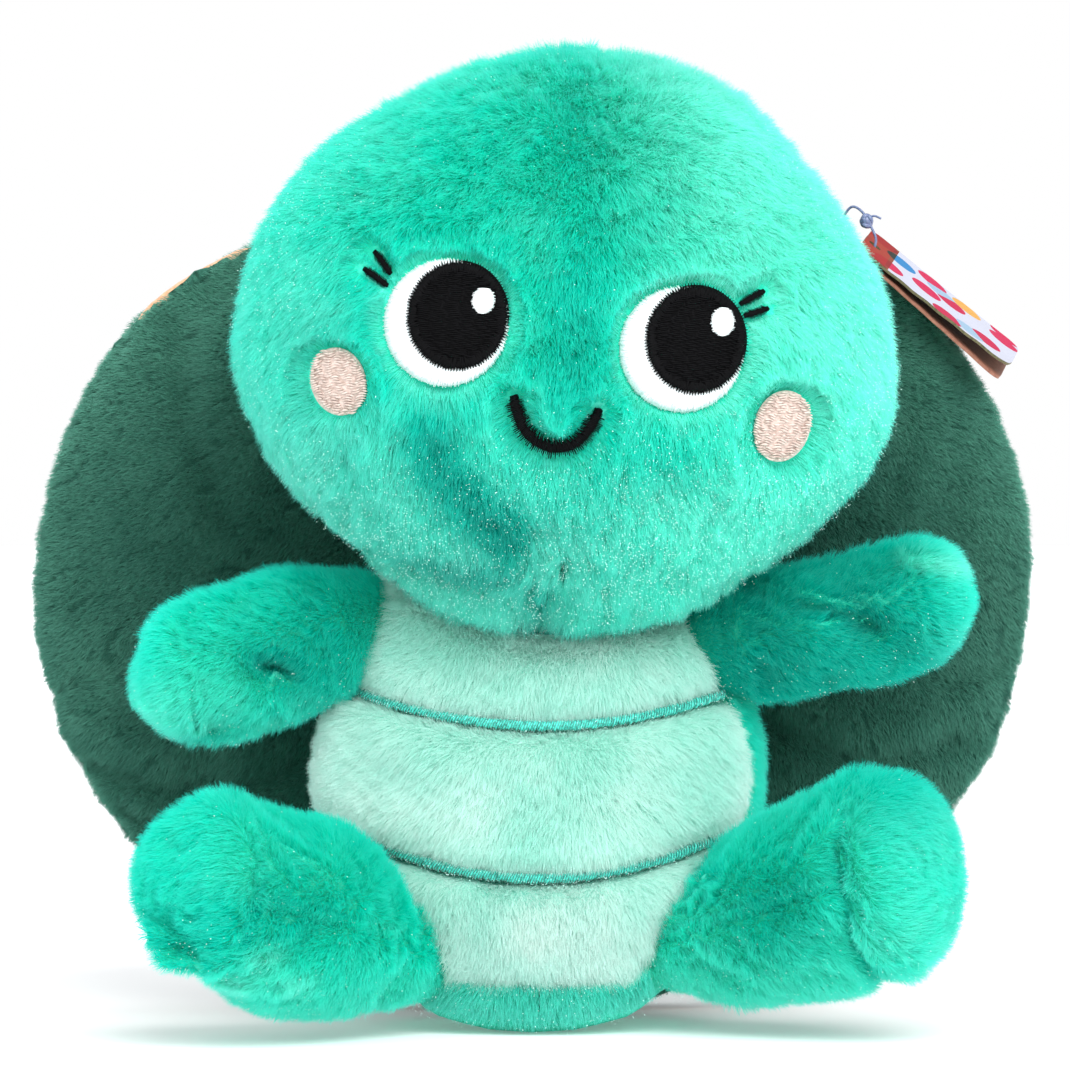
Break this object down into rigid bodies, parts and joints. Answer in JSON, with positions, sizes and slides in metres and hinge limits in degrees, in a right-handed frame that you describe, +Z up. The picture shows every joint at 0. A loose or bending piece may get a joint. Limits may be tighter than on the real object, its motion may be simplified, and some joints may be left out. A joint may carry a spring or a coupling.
{
  "type": "plush turtle",
  "caption": "Seated plush turtle: long-pile head, arms and legs on sewn, springy roots, a belly panel, a big padded shell behind, and a hang tag.",
  "frame": {"origin": "on the floor, under the middle of the toy's bounding box", "axes": "+Z up, -Y is the way the face looks, +X is the viewer's right from the front"},
  "size_m": [0.255, 0.1777, 0.2417],
  "materials": {
    "turquoise_pile": "long-pile knitted plush, combed, 6 to 7 mm",
    "mint_pile": "long-pile knitted plush, pale mint, 5 mm",
    "green_pile": "short-pile minky plush, 2.5 mm",
    "peach_piping": "folded bias tape at the shell's seam",
    "black_thread": "rayon satin-stitch embroidery",
    "white_thread": "rayon satin-stitch embroidery",
    "blush_thread": "fill-stitch embroidery",
    "teal_thread": "rayon satin-stitch embroidery",
    "stuffing": "polyester fibre filling",
    "backing": "non-woven embroidery backing",
    "pellets": "cloth pouch of plastic pellets",
    "card": null,
    "nylon": "moulded nylon tag fastener",
    "ribbon": "blank satin ribbon label"
  },
  "bodies": {
    "torso": {"belly_panel": "mint_pile", "belly_line_upper": "teal_thread", "belly_line_lower": "teal_thread", "body_back_left": "turquoise_pile", "body_back_right": "turquoise_pile", "body_base_panel": "turquoise_pile", "body_stuffing": "stuffing", "pellet_pouch": "pellets", "shell_front_panel": "green_pile", "shell_back_panel": "green_pile", "shell_piping": "peach_piping", "shell_stuffing": "stuffing", "care_label": "ribbon", "tag_fastener": "nylon"},
    "neck_inner": {"neck_core": "stuffing"},
    "neck_outer": {"neck_sleeve": "turquoise_pile"},
    "head": {"face_panel": "turquoise_pile", "head_back_left": "turquoise_pile", "head_back_right": "turquoise_pile", "head_stuffing": "stuffing", "face_stabiliser": "backing", "eye_white_left": "white_thread", "eye_white_right": "white_thread", "eye_black_left": "black_thread", "eye_black_right": "black_thread", "eye_glint_left": "white_thread", "eye_glint_right": "white_thread", "lash_left_upper": "black_thread", "lash_left_lower": "black_thread", "lash_right_upper": "black_thread", "lash_right_lower": "black_thread", "cheek_left": "blush_thread", "cheek_right": "blush_thread", "mouth": "black_thread"},
    "arm_left_seam": {"arm_left_root": "turquoise_pile"},
    "arm_left": {"arm_left_front": "turquoise_pile", "arm_left_back": "turquoise_pile", "arm_left_stuffing": "stuffing"},
    "arm_right_seam": {"arm_right_root": "turquoise_pile"},
    "arm_right": {"arm_right_front": "turquoise_pile", "arm_right_back": "turquoise_pile", "arm_right_stuffing": "stuffing"},
    "leg_left_seam": {"leg_left_root": "turquoise_pile"},
    "leg_left": {"leg_left_upper": "turquoise_pile", "leg_left_under": "turquoise_pile", "leg_left_sole": "turquoise_pile", "leg_left_stuffing": "stuffing"},
    "leg_right_seam": {"leg_right_root": "turquoise_pile"},
    "leg_right": {"leg_right_upper": "turquoise_pile", "leg_right_under": "turquoise_pile", "leg_right_sole": "turquoise_pile", "leg_right_stuffing": "stuffing"},
    "tag": {"tag_cover_leaf": "card"},
    "tag_inner": {"tag_back_leaf": "card"}
  },
  "joints": [
    {"name": "neck_turn", "type": "hinge", "parent": "torso", "child": "neck_inner", "pos_m": [0.0023, -0.0071, 0.107], "axis": [0, 0, 1], "range_deg": [-10, 10], "stiffness_Nm_per_rad": 0.8},
    {"name": "neck_nod", "type": "hinge", "parent": "neck_inner", "child": "neck_outer", "pos_m": [0.0023, -0.0071, 0.107], "axis": [1, 0, 0], "range_deg": [-3, 5], "stiffness_Nm_per_rad": 0.9},
    {"name": "neck_tilt", "type": "hinge", "parent": "neck_outer", "child": "head", "pos_m": [0.0023, -0.0071, 0.107], "axis": [0, 1, 0], "range_deg": [-4, 4], "stiffness_Nm_per_rad": 0.9},
    {"name": "arm_left_swing", "type": "hinge", "parent": "torso", "child": "arm_left_seam", "pos_m": [-0.0437, -0.0111, 0.099], "axis": [0, 0, 1], "range_deg": [-13, 20], "stiffness_Nm_per_rad": 0.12},
    {"name": "arm_left_lift", "type": "hinge", "parent": "arm_left_seam", "child": "arm_left", "pos_m": [-0.0437, -0.0111, 0.099], "axis": [0, 1, 0], "range_deg": [-12, 30], "stiffness_Nm_per_rad": 0.12},
    {"name": "arm_right_swing", "type": "hinge", "parent": "torso", "child": "arm_right_seam", "pos_m": [0.0468, -0.0111, 0.0965], "axis": [0, 0, 1], "range_deg": [-20, 10], "stiffness_Nm_per_rad": 0.12},
    {"name": "arm_right_lift", "type": "hinge", "parent": "arm_right_seam", "child": "arm_right", "pos_m": [0.0468, -0.0111, 0.0965], "axis": [0, 1, 0], "range_deg": [-16, 18], "stiffness_Nm_per_rad": 0.12},
    {"name": "leg_left_spread", "type": "hinge", "parent": "torso", "child": "leg_left_seam", "pos_m": [-0.0307, -0.0281, 0.0215], "axis": [0, 0, -1], "range_deg": [-12, 7], "stiffness_Nm_per_rad": 0.3},
    {"name": "leg_left_lift", "type": "hinge", "parent": "leg_left_seam", "child": "leg_left", "pos_m": [-0.0307, -0.0281, 0.0215], "axis": [-0.6919, 0.722, 0], "range_deg": [-4, 11], "stiffness_Nm_per_rad": 0.3},
    {"name": "leg_right_spread", "type": "hinge", "parent": "torso", "child": "leg_right_seam", "pos_m": [0.0353, -0.0231, 0.023], "axis": [0, 0, 1], "range_deg": [-12, 10], "stiffness_Nm_per_rad": 0.3},
    {"name": "leg_right_lift", "type": "hinge", "parent": "leg_right_seam", "child": "leg_right", "pos_m": [0.0353, -0.0231, 0.023], "axis": [-0.5452, -0.8383, 0], "range_deg": [-4, 12], "stiffness_Nm_per_rad": 0.3},
    {"name": "tag_swing", "type": "hinge", "parent": "torso", "child": "tag", "pos_m": [0.0885, 0.0429, 0.1984], "axis": [0, -1, 0], "range_deg": [0, 26]},
    {"name": "tag_open", "type": "hinge", "parent": "tag", "child": "tag_inner", "pos_m": [0.0885, 0.0429, 0.1984], "axis": [-0.1469, -0.9724, -0.1814], "range_deg": [-5, 1]}
  ]
}
